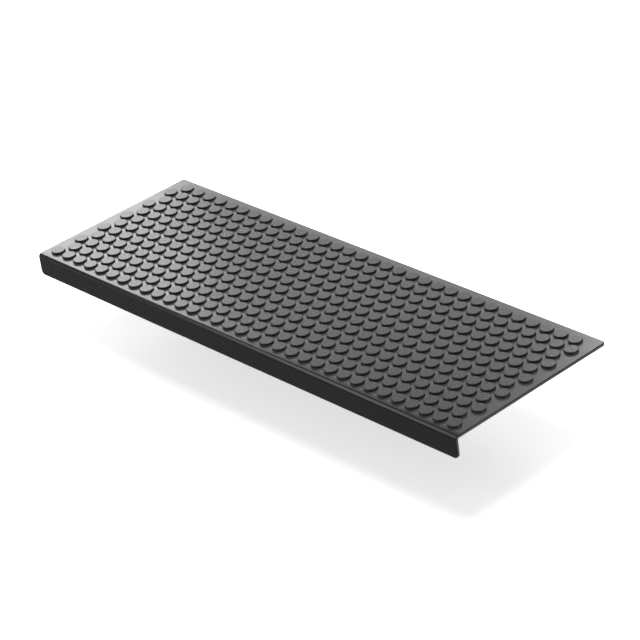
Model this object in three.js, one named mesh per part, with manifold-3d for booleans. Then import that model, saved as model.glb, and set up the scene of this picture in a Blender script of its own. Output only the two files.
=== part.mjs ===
// Anti slip stair tread mat: one moulded rubber piece, a flat plate with a staggered field of
// round studs on top and a nosing lip that hangs down over the front edge of the stair.
//
// Millimetres, +Z up. X runs along the length of the stair, +Y from the nosing to the back.
// The origin is the centre of the underside, which lies on the stair tread.

import * as THREE from 'three';
import { mergeVertices } from 'three/addons/utils/BufferGeometryUtils.js';
import Module from 'manifold-3d';

// Driving dimensions
const LENGTH = 750;            // along the stair
const DEPTH = 250;             // from the front of the nosing to the back edge
const PLATE_THICKNESS = 4;     // without the studs
const LIP_THICKNESS = 4;       // wall that hangs in front of the riser
const LIP_DROP = 26;           // from the underside of the plate to the bottom of the lip
const INNER_RADIUS = 1;        // fillet that seats on the edge of the stair
const EDGE_RADIUS = 1.2;       // softened top edges at the back and the two ends
const LIP_EDGE_RADIUS = 1;     // softened bottom edges of the lip
const BACK_CORNER_RADIUS = 5;  // seen from above
const LIP_CORNER_RADIUS = 6;   // bottom corners of the lip, seen from the front

const STUD_DIAMETER = 19;      // at the foot
const STUD_HEIGHT = 3;
const STUD_GAP = 3.25;         // between neighbouring feet
const STUD_DRAFT = 0.6;        // how much smaller the top's radius is, so that it leaves the mould
const FRONT_BORDER = 4.5;      // flat strip between the nosing's curve and the first row
const BACK_BORDER = 9;         // least flat strip behind the last row
const END_BORDER = 9;          // least flat strip at each end

// Facets: round each stud, and in a quarter of a turn
const STUD_SIDES = 7;
const NOSE_SEGMENTS = 6;
const CORNER_SEGMENTS = 5;
const EDGE_SEGMENTS = 2;

// Derived places
const NOSE_RADIUS = INNER_RADIUS + LIP_THICKNESS;
const TREAD_DEPTH = DEPTH - LIP_THICKNESS;
const FRONT_Y = -TREAD_DEPTH / 2 - LIP_THICKNESS;
const LIP_INNER_Y = FRONT_Y + LIP_THICKNESS;
const BACK_Y = FRONT_Y + DEPTH;
const END_X = LENGTH / 2;
const TOP_Z = PLATE_THICKNESS;
const LIP_BOTTOM_Z = -LIP_DROP;
const QUARTER = Math.PI / 2;
const MARGIN = 10;             // how far a cutting outline runs past the mat

const wasm = await Module();
wasm.setup();

// Turns a closed three.js geometry into a solid that can be joined and cut.
function toSolid(geometry) {
  geometry.deleteAttribute('normal');
  geometry.deleteAttribute('uv');
  const merged = mergeVertices(geometry);
  return new wasm.Manifold(new wasm.Mesh({
    numProp: 3,
    vertProperties: new Float32Array(merged.attributes.position.array),
    triVerts: new Uint32Array(merged.index.array),
  }));
}

// Turns a solid back into a geometry for a mesh.
function toGeometry(solid) {
  const mesh = solid.getMesh();
  const geometry = new THREE.BufferGeometry();
  geometry.setAttribute('position', new THREE.BufferAttribute(mesh.vertProperties, 3));
  geometry.setIndex(new THREE.BufferAttribute(mesh.triVerts, 1));
  geometry.computeVertexNormals();
  return geometry;
}

// Points of a quarter arc about a centre, from one angle to the next quarter.
function quarterArc(centreX, centreY, radius, startAngle, segments, turn = 1) {
  const points = [];
  for (let i = 0; i <= segments; i += 1) {
    const angle = startAngle + turn * QUARTER * (i / segments);
    points.push(new THREE.Vector2(centreX + radius * Math.cos(angle), centreY + radius * Math.sin(angle)));
  }
  return points;
}

// Extrudes an outline, then lays its own X, Y and depth along three axes of the mat.
function extrudeOutline(points, depth, axisX, axisY, axisDepth, start) {
  const geometry = new THREE.ExtrudeGeometry(new THREE.Shape(points), { depth, bevelEnabled: false });
  geometry.applyMatrix4(new THREE.Matrix4().makeBasis(axisX, axisY, axisDepth));
  geometry.translate(start.x, start.y, start.z);
  return toSolid(geometry);
}

const ALONG_X = new THREE.Vector3(1, 0, 0);
const ALONG_Y = new THREE.Vector3(0, 1, 0);
const ALONG_Z = new THREE.Vector3(0, 0, 1);

// The section across the stair: plate, rounded nosing and lip in one wall.
function section() {
  const outerY = FRONT_Y + LIP_EDGE_RADIUS;
  const innerY = LIP_INNER_Y - LIP_EDGE_RADIUS;
  const bottomZ = LIP_BOTTOM_Z + LIP_EDGE_RADIUS;
  const points = [
    new THREE.Vector2(BACK_Y, 0),
    ...quarterArc(BACK_Y - EDGE_RADIUS, TOP_Z - EDGE_RADIUS, EDGE_RADIUS, 0, EDGE_SEGMENTS),
    ...quarterArc(FRONT_Y + NOSE_RADIUS, TOP_Z - NOSE_RADIUS, NOSE_RADIUS, QUARTER, NOSE_SEGMENTS),
    ...quarterArc(outerY, bottomZ, LIP_EDGE_RADIUS, Math.PI, EDGE_SEGMENTS),
    ...quarterArc(innerY, bottomZ, LIP_EDGE_RADIUS, -QUARTER, EDGE_SEGMENTS),
    ...quarterArc(LIP_INNER_Y + INNER_RADIUS, -INNER_RADIUS, INNER_RADIUS, Math.PI, EDGE_SEGMENTS, -1),
  ];
  return extrudeOutline(points, LENGTH, ALONG_Y, ALONG_Z, ALONG_X, new THREE.Vector3(-END_X, 0, 0));
}

// The outline from above, with rounded corners at the back.
function planOutline() {
  const cornerX = END_X - BACK_CORNER_RADIUS;
  const cornerY = BACK_Y - BACK_CORNER_RADIUS;
  const points = [
    new THREE.Vector2(-END_X, FRONT_Y - MARGIN),
    new THREE.Vector2(END_X, FRONT_Y - MARGIN),
    ...quarterArc(cornerX, cornerY, BACK_CORNER_RADIUS, 0, CORNER_SEGMENTS),
    ...quarterArc(-cornerX, cornerY, BACK_CORNER_RADIUS, QUARTER, CORNER_SEGMENTS),
  ];
  const start = new THREE.Vector3(0, 0, LIP_BOTTOM_Z - MARGIN);
  const height = TOP_Z + MARGIN - start.z;
  return extrudeOutline(points, height, ALONG_X, ALONG_Y, ALONG_Z, start);
}

// The outline from the front: soft top edges at the ends and rounded bottom corners of the lip.
function frontOutline() {
  const lipX = END_X - LIP_CORNER_RADIUS;
  const lipZ = LIP_BOTTOM_Z + LIP_CORNER_RADIUS;
  const edgeX = END_X - EDGE_RADIUS;
  const edgeZ = TOP_Z - EDGE_RADIUS;
  const points = [
    ...quarterArc(edgeX, edgeZ, EDGE_RADIUS, 0, EDGE_SEGMENTS),
    ...quarterArc(-edgeX, edgeZ, EDGE_RADIUS, QUARTER, EDGE_SEGMENTS),
    ...quarterArc(-lipX, lipZ, LIP_CORNER_RADIUS, Math.PI, CORNER_SEGMENTS),
    ...quarterArc(lipX, lipZ, LIP_CORNER_RADIUS, -QUARTER, CORNER_SEGMENTS),
  ];
  const backwards = ALONG_Y.clone().negate();
  const start = new THREE.Vector3(0, BACK_Y + MARGIN, 0);
  return extrudeOutline(points, DEPTH + 2 * MARGIN, ALONG_X, ALONG_Z, backwards, start);
}

// The centres of the studs: rows a sixty degree stagger apart, each second row one stud shorter.
function studCentres() {
  const pitch = STUD_DIAMETER + STUD_GAP;
  const rowPitch = pitch * Math.sin(Math.PI / 3);
  const firstY = FRONT_Y + NOSE_RADIUS + FRONT_BORDER + STUD_DIAMETER / 2;
  const lastY = BACK_Y - BACK_BORDER - STUD_DIAMETER / 2;
  const rows = 1 + Math.floor((lastY - firstY) / rowPitch);
  const columns = 1 + Math.floor((LENGTH - 2 * END_BORDER - STUD_DIAMETER) / pitch);
  const centres = [];
  for (let row = 0; row < rows; row += 1) {
    const count = columns - (row % 2);
    for (let column = 0; column < count; column += 1) {
      centres.push(new THREE.Vector2((column - (count - 1) / 2) * pitch, firstY + row * rowPitch));
    }
  }
  return centres;
}

// One stud, sunk halfway into the plate. Its facets enclose the area of the round stud.
function stud(centre) {
  const corners = [];
  const footRadius = STUD_DIAMETER / 2;
  const turn = 2 * Math.PI / STUD_SIDES;
  const cornerRadius = footRadius * Math.sqrt(turn / Math.sin(turn));
  for (let i = 0; i < STUD_SIDES; i += 1) {
    corners.push(new THREE.Vector2(cornerRadius * Math.cos(i * turn), cornerRadius * Math.sin(i * turn)));
  }
  const buried = PLATE_THICKNESS / 2;
  const height = buried + STUD_HEIGHT;
  const geometry = new THREE.ExtrudeGeometry(new THREE.Shape(corners), { depth: height, bevelEnabled: false });
  const taper = STUD_DRAFT / STUD_HEIGHT / footRadius;
  const position = geometry.attributes.position;
  for (let i = 0; i < position.count; i += 1) {
    const scale = 1 - taper * (position.getZ(i) - buried);
    position.setX(i, position.getX(i) * scale);
    position.setY(i, position.getY(i) * scale);
  }
  geometry.translate(centre.x, centre.y, TOP_Z - buried);
  return toSolid(geometry);
}

// The whole moulding: the wall, cut to both outlines, with its studs.
function treadMat() {
  const wall = section().intersect(planOutline()).intersect(frontOutline());
  const studs = studCentres().map(stud);
  return toGeometry(wasm.Manifold.union([wall, ...studs]));
}

const rubber = new THREE.MeshStandardMaterial({ color: 0x2b2b2d, roughness: 0.45, metalness: 0 });

const mat = new THREE.Group();
const mesh = new THREE.Mesh(treadMat(), rubber);
mesh.name = 'tread_mat';
mat.add(mesh);

export default mat;
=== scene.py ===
import math

import bmesh
import bpy
from mathutils import Matrix, Vector


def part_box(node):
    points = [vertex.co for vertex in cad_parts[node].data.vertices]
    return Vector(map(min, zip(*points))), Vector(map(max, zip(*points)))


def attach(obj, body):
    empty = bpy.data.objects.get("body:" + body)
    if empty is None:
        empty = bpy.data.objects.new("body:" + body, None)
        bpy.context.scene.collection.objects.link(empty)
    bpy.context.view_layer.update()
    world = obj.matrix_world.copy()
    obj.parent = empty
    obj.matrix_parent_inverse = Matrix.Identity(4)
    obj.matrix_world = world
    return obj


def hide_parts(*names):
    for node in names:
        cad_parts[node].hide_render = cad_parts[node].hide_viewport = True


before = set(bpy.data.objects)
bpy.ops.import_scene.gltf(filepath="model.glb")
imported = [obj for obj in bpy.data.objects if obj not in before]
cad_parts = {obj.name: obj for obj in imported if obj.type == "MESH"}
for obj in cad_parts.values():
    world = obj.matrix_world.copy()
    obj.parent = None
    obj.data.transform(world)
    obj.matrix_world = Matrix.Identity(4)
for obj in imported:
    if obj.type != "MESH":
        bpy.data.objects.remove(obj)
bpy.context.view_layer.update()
LOW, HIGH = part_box("tread_mat")

# Real sizes, in metres, that the box doesn't give
MM = 0.001
WALL = 4 * MM                    # thickness of the plate and of the lip
INNER_RADIUS = 1 * MM            # fillet behind the lip
BACK_CORNER = 5 * MM             # back corners, seen from above
LIP_CORNER = 6 * MM              # lip's bottom corners, seen from the front
TOP_ROUND = 1.2 * MM             # softened edge all round the outer face
BOTTOM_ROUND = 0.3 * MM          # edge of the inner face
STUD_HEIGHT = 3 * MM
STUD_FOOT = 9.1 * MM             # radius at the foot
STUD_TOP = 8.9 * MM              # radius at the top
STUD_ROUND = 0.8 * MM            # edge of the stud's top
STUD_FILLET = 0.4 * MM           # hollow curve round its foot
STUD_PITCH = 22.25 * MM
FRONT_MARGIN = 19 * MM           # from the front of the nosing to the first row
ROWS = 12
COLUMNS = 33                     # in the first row and each second row after it

# Places in the shared frame
FRONT_Y = LOW.y
BACK_Y = HIGH.y
END_X = HIGH.x
PLATE_TOP = WALL
BEND_Y = FRONT_Y + WALL + INNER_RADIUS
ROW_PITCH = STUD_PITCH * math.sin(math.radians(60))

# Lengths along the wall, from the back edge over the nosing to the bottom of the lip
QUARTER = math.pi / 2
BEND_START = BACK_Y - BEND_Y
BEND_LENGTH = QUARTER * (INNER_RADIUS + WALL)
BEND_END = BEND_START + BEND_LENGTH
LIP_END = BEND_END - INNER_RADIUS - LOW.z

# Mesh resolution
STUD_STEPS = 30                  # a multiple of 6, so that neighbouring cells share their corners
CORNER_STEPS = 8
BEND_STEPS = 12
ROUND_STEPS = 3
FILLET_STEPS = 2
MERGE_DISTANCE = 0.01 * MM       # between corners that neighbouring cells share
FLAT_ENOUGH = 0.9995             # cosine between a flat face's normal and its axis

# Camera, found from the mat's corners and studs in the photo
CAMERA_AIM = Vector((59.1, -34.3, 4.0)) * MM
CAMERA_DISTANCE = 3.2035         # metres
CAMERA_AZIMUTH = -50.55          # degrees from +Y towards +X
CAMERA_ELEVATION = 29.27         # degrees above the plate
CAMERA_ROLL = -8.0               # degrees
CAMERA_LENS = 150.6              # millimetres, like the sensor
CAMERA_SENSOR = 36

# Rubber. The noise scales are for coordinates in metres.
SHINE = 0.35                     # specular level
CLOUD_SCALE = 9.0
SPECKLE_SCALE = 400.0
WAVE_SCALE = 60.0
GRAIN_SCALE = 1400.0
NOISE_SPAN = (0.3, 0.7)          # noise values that give the lowest and the highest roughness
CLOUDY_ROUGHNESS = (0.19, 0.23)
SPECKLE_ROUGHNESS = (-0.02, 0.02)
STUD_TOP_ROUGHNESS = (0.0, 0.05)
BLACK_SPAN = (0.35, 0.65)        # noise values that give the darkest and the lightest black
BLACKS = ((0.0120, 0.0122, 0.0128, 1), (0.0145, 0.0148, 0.0154, 1))
PAINTED_SHEEN_GREY = (0.048, 0.048, 0.048, 1)    # painted sheen: grey added to the black on the tread
STEEP_SHADE_SHARE = 0.6                # share of the painted sheen where the tread's surface is steep: painted shade on the studs' walls
SHADED_TOP_SHARE = 0.45            # share of the painted sheen on the studs' tops: painted shade, darker than the plate between them
BUMP_STRENGTH = 0.12
WAVE_DEPTH = 0.5 * MM
GRAIN_DEPTH = 0.1 * MM

# Where the rubber's roughness, painted sheen and painted shade change: heights, places along Y
# and slopes, each from the start of the change to its full effect
STUD_LOW = PLATE_TOP + STUD_HEIGHT - 0.5 * MM
TREAD_SPAN = (PLATE_TOP - 1.0 * MM, PLATE_TOP - 0.1 * MM)
# heights over which the painted shade of the studs comes in
STUD_SPAN = (PLATE_TOP + 0.3 * MM, STUD_LOW)
STUD_TOP_SPAN = (STUD_LOW, STUD_LOW + 0.3 * MM)
# where the painted sheen fades out as painted shade on the front strip by the nosing
NOSING_SPAN = (FRONT_Y + 7 * MM, FRONT_Y + 11 * MM)
UPWARD_SPAN = (0.3, 0.95)        # upward part of the normal, over which the painted shade of steep places fades

# Studio floor, and cards that only the mat's reflections show. Sizes are in metres.
FLOOR_Z = LOW.z - 75 * MM
FLOOR_SIDE = 20.0                # from the middle to each side
FLOOR_WHITE = 0.9
FLOOR_GLOW = 0.6                 # where a ray looks straight at the floor
LOW_CARD_SIDE = 1.6
LOW_CARD_NEAR = -0.16            # Y of the floor card's near side
LOW_CARD_FAR = -1.6              # Y of its far side, where the front card stands
LOW_CARD_Z = FLOOR_Z + 2 * MM
FRONT_CARD_TOP = 1.0
LOW_CARD_GLOW = 0.27
SKY_CARD_SIDE = 8.0
SKY_CARD_Z = 2.6
SKY_CARD_GLOW = 0.36
ROOM_GLOW = (0.35, 1.0)          # plain light from all round, and white where a ray looks at it

# Lamps, as a studio sets them round a dark glossy product. The plate mirrors what stands
# between two azimuths seen from the camera, so the panels are placed by azimuth.
PANEL_REACH = 4.6                # from the camera, level
LEFT_PANEL = {"azimuths": (-66.0, -53.3), "heights": (0.5, 1.1), "radiance": 6.2}
BACK_PANEL = {"azimuths": (-53.3, -43.8), "heights": (0.5, 1.15), "radiance": 1.55}
RIGHT_PANEL = {"azimuths": (-43.8, -30.0), "heights": (0.7, 1.6), "radiance": 6.5}
NOSE_PANEL = Vector((-1.1, -1.1, 1.1))
NOSE_PANEL_AIM = Vector((0.2, -0.12, 0.0))
NOSE_PANEL_SIZE = (0.5, 0.35)
NOSE_PANEL_RADIANCE = 3.5
SUN = Vector((-0.25, 0.2, 1.0))
SUN_AIM = Vector((0, 0, 0))
SUN_ENERGY = 1.9
SUN_ANGLE = 30                   # degrees, for soft shadows


def link(thing):
    bpy.context.scene.collection.objects.link(thing)


def make_camera():
    azimuth = math.radians(CAMERA_AZIMUTH)
    elevation = math.radians(CAMERA_ELEVATION)
    forward = Vector((
        math.sin(azimuth) * math.cos(elevation),
        math.cos(azimuth) * math.cos(elevation),
        -math.sin(elevation),
    ))
    level = forward.cross(Vector((0, 0, 1))).normalized()
    right = Matrix.Rotation(-math.radians(CAMERA_ROLL), 3, forward) @ level
    up = right.cross(forward)
    turn = Matrix((right, up, -forward)).transposed()
    place = CAMERA_AIM - CAMERA_DISTANCE * forward
    data = bpy.data.cameras.new("camera")
    data.lens = CAMERA_LENS
    data.sensor_width = CAMERA_SENSOR
    camera = bpy.data.objects.new("camera", data)
    camera.matrix_world = Matrix.Translation(place) @ turn.to_4x4()
    link(camera)
    bpy.context.scene.camera = camera


# Mat mesh

def on_wall(x, s, t):
    """A point of the bent wall: s runs from the back edge over the nosing to the lip's bottom,
    and t from the inner face to the outer one."""
    if s <= BEND_START:
        return Vector((x, BACK_Y - s, t))
    radius = INNER_RADIUS + t
    if s >= BEND_END:
        return Vector((x, BEND_Y - radius, -INNER_RADIUS - (s - BEND_END)))
    angle = (s - BEND_START) / BEND_LENGTH * QUARTER
    y = BEND_Y - radius * math.sin(angle)
    return Vector((x, y, radius * math.cos(angle) - INNER_RADIUS))


def corner(x, s, radius, start):
    """Points of a rounded corner of the flat outline, over a quarter turn from a start angle."""
    angles = [math.radians(start + 90 * i / CORNER_STEPS) for i in range(CORNER_STEPS + 1)]
    return [(x + radius * math.cos(a), s + radius * math.sin(a)) for a in angles]


def outline_parts(inset):
    """The flat outline of the wall in x and s, drawn in by an inset, in four runs that follow each
    other: the back edge, the bend's right side, the lip's bottom and the bend's left side."""
    side = END_X - inset
    back_x, back_s, back_round = END_X - BACK_CORNER, BACK_CORNER, BACK_CORNER - inset
    lip_x, lip_s, lip_round = END_X - LIP_CORNER, LIP_END - LIP_CORNER, LIP_CORNER - inset
    bend = [BEND_START + BEND_LENGTH * i / BEND_STEPS for i in range(BEND_STEPS + 1)]
    back = corner(-back_x, back_s, back_round, 180) + corner(back_x, back_s, back_round, 270)
    lip = corner(lip_x, lip_s, lip_round, 0) + corner(-lip_x, lip_s, lip_round, 90)
    return back, [(side, s) for s in bend], lip, [(-side, s) for s in reversed(bend)]


def wall_levels():
    """Inset and thickness of each level round the wall's edge, from the inner face outwards."""
    levels = [(BOTTOM_ROUND, 0.0), (0.0, BOTTOM_ROUND)]
    for i in range(ROUND_STEPS + 1):
        angle = QUARTER * i / ROUND_STEPS
        inset = TOP_ROUND * (1 - math.cos(angle))
        levels.append((inset, WALL - TOP_ROUND + TOP_ROUND * math.sin(angle)))
    return levels


def plate_rim(parts):
    """The corners round the flat plate, of one level's four runs."""
    back, right, _, left = parts
    return [left[-1], *back, right[0]]


def add_bend_and_lip(bm, parts):
    """Closes one face of the wall over the bend and the lip."""
    _, right, lip, left = parts
    for i in range(BEND_STEPS):
        bm.faces.new((right[i], right[i + 1], left[-2 - i], left[-1 - i]))
    bm.faces.new([right[-1], *lip, left[0]])


def add_wall(bm):
    """The bent wall, open where the plate's outer face goes. Returns the edges of that opening."""
    levels = []
    for inset, t in wall_levels():
        runs = outline_parts(inset)
        levels.append([[bm.verts.new(on_wall(x, s, t)) for x, s in run] for run in runs])
    rings = [[vertex for run in parts for vertex in run] for parts in levels]
    for lower, upper in zip(rings, rings[1:]):
        for i in range(len(lower)):
            j = (i + 1) % len(lower)
            bm.faces.new((lower[i], lower[j], upper[j], upper[i]))
    inner, outer = levels[0], levels[-1]
    add_bend_and_lip(bm, inner)
    add_bend_and_lip(bm, outer)
    bm.faces.new(plate_rim(inner))
    rim = plate_rim(outer)
    return [edge_between(bm, a, b) for a, b in zip(rim, rim[1:] + rim[:1])]


def edge_between(bm, a, b):
    return bm.edges.get((a, b)) or bm.edges.new((a, b))


def stud_profile():
    """Radius and height of each ring of a stud, from the plate up."""
    rings = []
    for i in range(FILLET_STEPS + 1):
        angle = QUARTER * i / FILLET_STEPS
        rings.append((
            STUD_FOOT + STUD_FILLET * (1 - math.sin(angle)),
            STUD_FILLET * (1 - math.cos(angle)),
        ))
    for i in range(ROUND_STEPS + 1):
        angle = QUARTER * i / ROUND_STEPS
        rings.append((
            STUD_TOP - STUD_ROUND * (1 - math.cos(angle)),
            STUD_HEIGHT - STUD_ROUND * (1 - math.sin(angle)),
        ))
    return rings


def stud_centres():
    """Rows a sixty degree stagger apart, each second row one stud shorter."""
    centres = []
    for row in range(ROWS):
        count = COLUMNS - row % 2
        y = FRONT_Y + FRONT_MARGIN + row * ROW_PITCH
        for column in range(count):
            centres.append(((column - (count - 1) / 2) * STUD_PITCH, y))
    return centres


def add_ring(bm, x, y, z, angles, radii):
    return [
        bm.verts.new((x + r * math.cos(a), y + r * math.sin(a), z))
        for a, r in zip(angles, radii)
    ]


def add_studs(bm):
    """Each stud in its six-sided cell of the plate. Returns the edges round the whole field."""
    angles = [2 * math.pi * i / STUD_STEPS for i in range(STUD_STEPS)]
    sixth = math.pi / 3
    cell = [STUD_PITCH / 2 / math.cos((a + sixth / 2) % sixth - sixth / 2) for a in angles]
    profile = stud_profile()
    cell_corners = []
    for x, y in stud_centres():
        ring = add_ring(bm, x, y, PLATE_TOP, angles, cell)
        cell_corners.extend(ring)
        for radius, height in profile:
            upper = add_ring(bm, x, y, PLATE_TOP + height, angles, [radius] * STUD_STEPS)
            for i in range(STUD_STEPS):
                j = (i + 1) % STUD_STEPS
                bm.faces.new((ring[i], ring[j], upper[j], upper[i]))
            ring = upper
        bm.faces.new(ring)
    bmesh.ops.remove_doubles(bm, verts=cell_corners, dist=MERGE_DISTANCE)
    return [edge for edge in bm.edges if edge.is_boundary]


def set_normals(mesh):
    """Lets each rounding run out smoothly: a corner of a flat face that lies along an axis has that
    axis as its normal, and any other corner has the mean of its faces."""
    normals = [vertex.normal.copy() for vertex in mesh.vertices]
    for polygon in mesh.polygons:
        axis = Vector([round(part) for part in polygon.normal])
        if polygon.normal.dot(axis) > FLAT_ENOUGH:
            for index in polygon.vertices:
                normals[index] = axis
    mesh.normals_split_custom_set_from_vertices(normals)


def make_mat():
    bm = bmesh.new()
    field = add_studs(bm)
    rim = add_wall(bm)
    bmesh.ops.triangle_fill(bm, edges=field + rim, use_beauty=True, normal=(0, 0, 1))
    bmesh.ops.recalc_face_normals(bm, faces=bm.faces)
    for face in bm.faces:
        face.smooth = True
    mesh = bpy.data.meshes.new("rubber_mat")
    bm.to_mesh(mesh)
    bm.free()
    set_normals(mesh)
    mesh.materials.append(rubber())
    mat = bpy.data.objects.new("rubber_mat", mesh)
    link(mat)
    return mat


# Materials

def node(tree, kind, **settings):
    """A new node. Each setting is the value of an input or else a property of the node."""
    made = tree.nodes.new(kind)
    for name, value in settings.items():
        if name in made.inputs:
            made.inputs[name].default_value = value
        else:
            setattr(made, name, value)
    return made


def noise(tree, coordinates, scale, detail=3.0):
    made = node(tree, "ShaderNodeTexNoise", Scale=scale, Detail=detail)
    tree.links.new(coordinates, made.inputs["Vector"])
    return made.outputs["Fac"]


def spread(tree, value, span, results):
    """The value, mapped from a span to the results at its two ends, and held beyond them."""
    made = node(tree, "ShaderNodeMapRange")
    tree.links.new(value, made.inputs["Value"])
    made.inputs["From Min"].default_value, made.inputs["From Max"].default_value = span
    made.inputs["To Min"].default_value, made.inputs["To Max"].default_value = results
    return made.outputs["Result"]


def combine(tree, operation, a, b):
    made = node(tree, "ShaderNodeMath", operation=operation)
    tree.links.new(a, made.inputs[0])
    tree.links.new(b, made.inputs[1])
    return made.outputs["Value"]


def add(tree, a, b):
    return combine(tree, "ADD", a, b)


def multiply(tree, a, b):
    return combine(tree, "MULTIPLY", a, b)


def along(tree, vector, axis):
    made = tree.nodes.new("ShaderNodeSeparateXYZ")
    tree.links.new(vector, made.inputs[0])
    return made.outputs[axis]


def bump(tree, height, depth):
    made = node(tree, "ShaderNodeBump", Strength=BUMP_STRENGTH, Distance=depth)
    tree.links.new(height, made.inputs["Height"])
    return made


def rubber_roughness(tree, place, height, speckle):
    """Cloudy and a little speckled, and duller on the studs' tops."""
    cloudy = spread(tree, noise(tree, place, CLOUD_SCALE), NOISE_SPAN, CLOUDY_ROUGHNESS)
    duller_tops = spread(tree, height, STUD_TOP_SPAN, STUD_TOP_ROUGHNESS)
    speckled = spread(tree, speckle, NOISE_SPAN, SPECKLE_ROUGHNESS)
    return add(tree, add(tree, cloudy, duller_tops), speckled)


def painted_sheen_share(tree, place, normal, height):
    """How much of the painted sheen a place gets: all of it on the plate behind the nosing, less
    on the studs' tops and on steep places, where shade is painted, and none on the lip."""
    on_tread = spread(tree, height, TREAD_SPAN, (0.0, 1.0))
    # Painted shade: steep places get less of the painted sheen.
    painted_steep_shade = spread(tree, along(tree, normal, "Z"), UPWARD_SPAN, (STEEP_SHADE_SHARE, 1.0))
    # Painted shade: the studs' walls and tops get less of the painted sheen.
    painted_top_shade = spread(tree, height, STUD_SPAN, (1.0, SHADED_TOP_SHARE))
    # Painted shade: the front strip by the nosing gets none of the painted sheen.
    painted_nosing_shade = spread(tree, along(tree, place, "Y"), NOSING_SPAN, (0.0, 1.0))
    share = multiply(tree, multiply(tree, on_tread, painted_steep_shade), painted_top_shade)
    return multiply(tree, share, painted_nosing_shade)


def rubber_colour(tree, speckle, share):
    black = tree.nodes.new("ShaderNodeValToRGB")
    for element, position, colour in zip(black.color_ramp.elements, BLACK_SPAN, BLACKS):
        element.position = position
        element.color = colour
    tree.links.new(speckle, black.inputs["Fac"])
    # Adds the painted sheen of grey to the black, as far as the share goes.
    greyer = node(tree, "ShaderNodeMix", data_type="RGBA", blend_type="ADD")
    greyer.inputs["B"].default_value = PAINTED_SHEEN_GREY
    tree.links.new(share, greyer.inputs["Factor"])
    tree.links.new(black.outputs["Color"], greyer.inputs["A"])
    return greyer.outputs["Result"]


def rubber():
    """Black rubber with a painted sheen of grey on the tread, and a fine moulded grain."""
    material = bpy.data.materials.new("black_rubber")
    material.use_nodes = True
    tree = material.node_tree
    links = tree.links
    shader = tree.nodes["Principled BSDF"]
    shader.inputs["Specular IOR Level"].default_value = SHINE
    coordinates = tree.nodes.new("ShaderNodeTexCoord").outputs
    place = coordinates["Object"]
    height = along(tree, place, "Z")
    speckle = noise(tree, place, SPECKLE_SCALE)
    share = painted_sheen_share(tree, place, coordinates["Normal"], height)
    links.new(rubber_roughness(tree, place, height, speckle), shader.inputs["Roughness"])
    links.new(rubber_colour(tree, speckle, share), shader.inputs["Base Color"])

    waves = bump(tree, noise(tree, place, WAVE_SCALE, detail=1.0), WAVE_DEPTH)
    grain = bump(tree, noise(tree, place, GRAIN_SCALE, detail=2.0), GRAIN_DEPTH)
    links.new(waves.outputs["Normal"], grain.inputs["Normal"])
    links.new(grain.outputs["Normal"], shader.inputs["Normal"])
    return material


# Studio

def seen_ray(tree):
    """One where the camera, a reflection or a transmission looks straight at the surface."""
    path = tree.nodes.new("ShaderNodeLightPath").outputs
    total = add(tree, path["Is Camera Ray"], path["Is Glossy Ray"])
    total = add(tree, total, path["Is Transmission Ray"])
    clamp = tree.nodes.new("ShaderNodeClamp")
    tree.links.new(total, clamp.inputs["Value"])
    return clamp.outputs["Result"]


def bare_material(name):
    """A material without its shader. Returns it with its tree and the socket of its surface."""
    material = bpy.data.materials.new(name)
    material.use_nodes = True
    tree = material.node_tree
    tree.nodes.remove(tree.nodes["Principled BSDF"])
    return material, tree, tree.nodes["Material Output"].inputs["Surface"]


def make_sheet(name, corners, material):
    """A flat sheet with four corners."""
    mesh = bpy.data.meshes.new(name)
    mesh.from_pydata(corners, [], [(0, 1, 2, 3)])
    mesh.materials.append(material)
    sheet = bpy.data.objects.new(name, mesh)
    link(sheet)
    return sheet


def level_corners(side, low_y, high_y, z):
    return [(-side, low_y, z), (side, low_y, z), (side, high_y, z), (-side, high_y, z)]


def make_floor():
    """A white floor that keeps the mat's shadow and glows where a ray looks straight at it."""
    material, tree, surface = bare_material("studio_floor")
    white = (FLOOR_WHITE, FLOOR_WHITE, FLOOR_WHITE, 1)
    diffuse = node(tree, "ShaderNodeBsdfDiffuse", Color=white)
    glow = node(tree, "ShaderNodeEmission", Color=(1, 1, 1, 1))
    strength = spread(tree, seen_ray(tree), (0.0, 1.0), (0.0, FLOOR_GLOW))
    tree.links.new(strength, glow.inputs["Strength"])
    both = tree.nodes.new("ShaderNodeAddShader")
    tree.links.new(diffuse.outputs[0], both.inputs[0])
    tree.links.new(glow.outputs[0], both.inputs[1])
    tree.links.new(both.outputs[0], surface)
    corners = level_corners(FLOOR_SIDE, -FLOOR_SIDE, FLOOR_SIDE, FLOOR_Z)
    floor = make_sheet("floor", corners, material)


def make_card(name, corners, glow):
    """A grey card that only the mat's reflections show."""
    material, tree, surface = bare_material(name)
    grey = node(tree, "ShaderNodeEmission", Strength=glow)
    tree.links.new(grey.outputs[0], surface)
    card = make_sheet(name, corners, material)
    card.visible_camera = False
    card.visible_shadow = False
    card.visible_diffuse = False


def make_cards():
    floor_corners = level_corners(LOW_CARD_SIDE, LOW_CARD_FAR, LOW_CARD_NEAR, LOW_CARD_Z)
    make_card("floor_card", floor_corners, LOW_CARD_GLOW)
    front_corners = [
        (-LOW_CARD_SIDE, LOW_CARD_FAR, LOW_CARD_Z),
        (LOW_CARD_SIDE, LOW_CARD_FAR, LOW_CARD_Z),
        (LOW_CARD_SIDE, LOW_CARD_FAR, FRONT_CARD_TOP),
        (-LOW_CARD_SIDE, LOW_CARD_FAR, FRONT_CARD_TOP),
    ]
    make_card("front_card", front_corners, LOW_CARD_GLOW)
    sky_corners = level_corners(SKY_CARD_SIDE, -SKY_CARD_SIDE, SKY_CARD_SIDE, SKY_CARD_Z)
    make_card("sky_card", sky_corners, SKY_CARD_GLOW)


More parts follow.
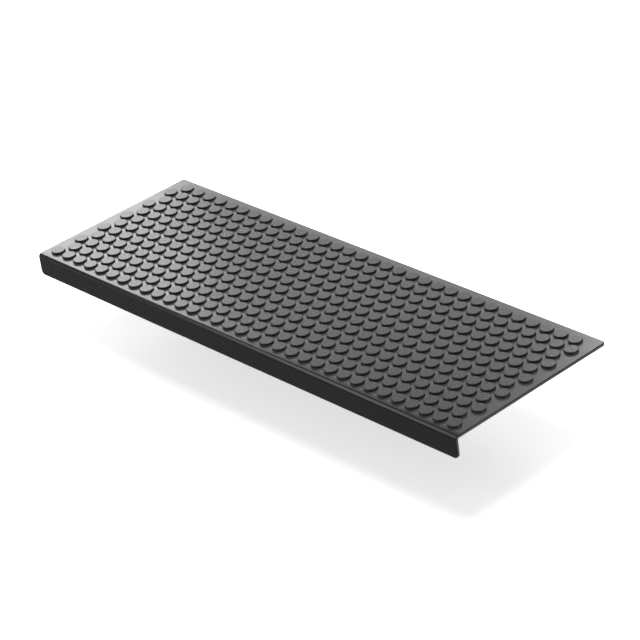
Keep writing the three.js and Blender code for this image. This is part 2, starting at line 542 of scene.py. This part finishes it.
def make_world():
    world = bpy.data.worlds.new("studio")
    bpy.context.scene.world = world
    world.use_nodes = True
    tree = world.node_tree
    background = tree.nodes["Background"]
    background.inputs["Color"].default_value = (1, 1, 1, 1)
    strength = spread(tree, seen_ray(tree), (0.0, 1.0), ROOM_GLOW)
    tree.links.new(strength, background.inputs["Strength"])


def add_lamp(name, kind, place, aim, **settings):
    data = bpy.data.lights.new(name, kind)
    for key, value in settings.items():
        setattr(data, key, value)
    lamp = bpy.data.objects.new(name, data)
    lamp.location = place
    lamp.rotation_euler = (aim - place).to_track_quat("-Z", "Y").to_euler()
    lamp.visible_camera = False
    link(lamp)
    return lamp


def add_area(name, place, aim, size, radiance):
    """A flat lamp, whose power follows from its brightness and its area."""
    width, tall = size
    power = radiance * math.pi * width * tall
    return add_lamp(
        name, "AREA", place, aim,
        shape="RECTANGLE", size=width, size_y=tall, energy=power,
    )


def add_panel(name, azimuths, heights, radiance):
    """An upright panel between two azimuths seen from the camera."""
    camera = bpy.context.scene.camera.matrix_world.translation
    low, high = heights
    centre = Vector((camera.x, camera.y, (low + high) / 2))
    ends = []
    for azimuth in azimuths:
        angle = math.radians(azimuth)
        ends.append(centre + PANEL_REACH * Vector((math.sin(angle), math.cos(angle), 0)))
    size = ((ends[1] - ends[0]).length, high - low)
    add_area(name, (ends[0] + ends[1]) / 2, centre, size, radiance)


def make_lamps():
    sun_angle = math.radians(SUN_ANGLE)
    sun = add_lamp("soft_sun", "SUN", SUN, SUN_AIM, energy=SUN_ENERGY, angle=sun_angle)
    sun.visible_glossy = False
    add_panel("left_panel", **LEFT_PANEL)
    add_panel("back_panel", **BACK_PANEL)
    add_panel("right_panel", **RIGHT_PANEL)
    add_area("nose_panel", NOSE_PANEL, NOSE_PANEL_AIM, NOSE_PANEL_SIZE, NOSE_PANEL_RADIANCE)


bpy.context.scene.view_settings.view_transform = "Standard"
make_camera()
mat = make_mat()
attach(mat, "root")
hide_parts("tread_mat")
make_floor()
make_cards()
make_world()
make_lamps()
